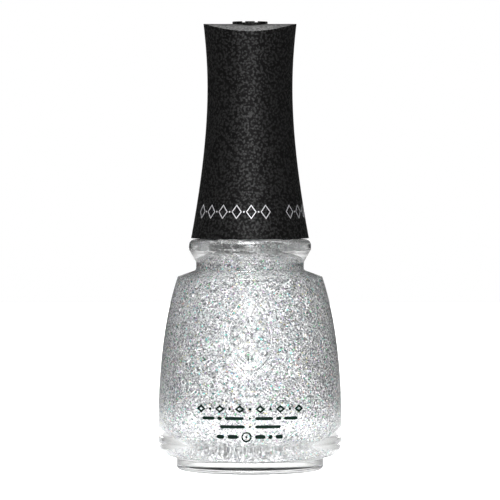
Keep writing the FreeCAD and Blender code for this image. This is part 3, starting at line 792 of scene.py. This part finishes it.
def soft_box(name, place, target, width, height, power):
    """A lamp with a bright middle that fades out towards its edges."""
    light = bpy.data.lights.new(name, "AREA")
    light.shape, light.size, light.size_y, light.energy = "RECTANGLE", width, height, power
    lamp = bpy.data.objects.new(name, light)
    bpy.context.scene.collection.objects.link(lamp)
    light.use_nodes = True
    tree = light.node_tree
    spot = add(tree, "ShaderNodeNewGeometry").outputs["Parametric"]
    off_centre = vector_math(tree, "SUBTRACT", spot, (0.5, 0.5, 0.0))
    off = add(tree, "ShaderNodeVectorMath", {0: off_centre}, operation="LENGTH").outputs["Value"]
    fall = add(tree, "ShaderNodeMapRange", {
        "Value": off, "From Min": 0.5, "From Max": 0.0, "To Min": 0.0, "To Max": 3.4,
    }, interpolation_type="SMOOTHSTEP").outputs[0]
    tree.links.new(fall, tree.nodes["Emission"].inputs["Strength"])
    lamp.location = place
    lamp.rotation_euler = (Vector(target) - Vector(place)).to_track_quat("-Z", "Y").to_euler()
    return lamp


def make_floor():
    """A floor that shows plain white, with painted light: a lighter lane and a glowing strip along its
    middle light the bottle's foot from below.
    """
    mesh = bpy.data.meshes.new("studio_floor")
    rim = [(FLOOR_REACH * math.cos(a), FLOOR_REACH * math.sin(a), 0) for a in round_angles(FLOOR_SIDES)]
    mesh.from_pydata(rim, [], [range(FLOOR_SIDES)])
    floor = bpy.data.objects.new("studio_floor", mesh)
    bpy.context.scene.collection.objects.link(floor)
    finish, tree, shader = new_finish("studio_floor")
    set_plain(shader, {
        "Roughness": 0.9, "Emission Color": WHITE, "Specular IOR Level": 0.0,
    })
    place = add(tree, "ShaderNodeTexCoord").outputs["Object"]
    across = add(tree, "ShaderNodeSeparateXYZ", {"Vector": place}).outputs["X"]
    aside = math_node(tree, "ABSOLUTE", across)
    # Painted light: the floor's colour is lighter in a lane along its middle, so it throws more light onto
    # the middle of the bottle's foot than onto its sides.
    painted_light_lane = add(tree, "ShaderNodeMapRange", {
        "Value": aside, "From Min": 0.02, "From Max": 0.10, "To Min": 0.70, "To Max": 0.28,
    }).outputs[0]
    tree.links.new(painted_light_lane, shader.inputs["Base Color"])
    # Painted light: a narrow strip along the floor's middle glows, seen only through the glass, and lights
    # the bottle's foot from below though it is no lamp.
    painted_glow_strip = add(tree, "ShaderNodeMapRange", {
        "Value": aside,
        "From Min": 0.009, "From Max": 0.03, "To Min": 4.0, "To Max": 0.1,
    }).outputs[0]
    ray = add(tree, "ShaderNodeLightPath").outputs
    below = math_node(tree, "MULTIPLY", ray["Is Transmission Ray"], painted_glow_strip)
    shine = math_node(tree, "MAXIMUM", ray["Is Camera Ray"], below)
    tree.links.new(shine, shader.inputs["Emission Strength"])
    mesh.materials.append(finish)


def make_world():
    """White where it is seen, and behind the bottle through its glass; dim all round."""
    world = bpy.data.worlds.new("studio_world")
    bpy.context.scene.world = world
    world.use_nodes = True
    tree = world.node_tree
    ray = add(tree, "ShaderNodeLightPath").outputs
    way = add(tree, "ShaderNodeTexCoord").outputs["Generated"]
    back = add(tree, "ShaderNodeSeparateXYZ", {"Vector": way}).outputs["Y"]
    behind = add(tree, "ShaderNodeMapRange", {"Value": back, "From Min": 0.3, "From Max": 0.9}).outputs[0]
    lit = math_node(tree, "MULTIPLY", behind, ray["Is Transmission Ray"])
    seen = math_node(tree, "MAXIMUM", lit, ray["Is Camera Ray"])
    background = tree.nodes["Background"]
    tree.links.new(blend(tree, seen, DIM, WHITE), background.inputs["Color"])
    background.inputs["Strength"].default_value = 1.0


def make_camera():
    """The camera, in front of the bottle and a little above its middle."""
    camera = bpy.data.cameras.new("camera")
    camera.lens, camera.sensor_width = CAMERA_LENS, CAMERA_SENSOR
    holder = bpy.data.objects.new("camera", camera)
    bpy.context.scene.collection.objects.link(holder)
    holder.location = CAMERA_PLACE
    aim = Vector(CAMERA_TARGET) - holder.location
    holder.rotation_euler = aim.to_track_quat("-Z", "Y").to_euler()
    bpy.context.scene.camera = holder
    bpy.context.scene.view_settings.view_transform = "Standard"


def make_studio():
    """Floor, four lamps, world and camera."""
    make_floor()
    low, high = CAD_BOX
    middle = (0, 0, (low.z + high.z) / 2)
    lamps = {name: soft_box(name, place, middle, *rest) for name, place, *rest in LAMPS}
    # The front light would show as a white strip in the glass, so reflections leave it out.
    lamps["front_light"].visible_glossy = False
    make_world()
    make_camera()


finishes = make_finishes()
make_bottle(finishes)
print_bottle(finishes)
print_cap(finishes)
make_filaments(finishes)
dress_nodes(finishes)
make_studio()
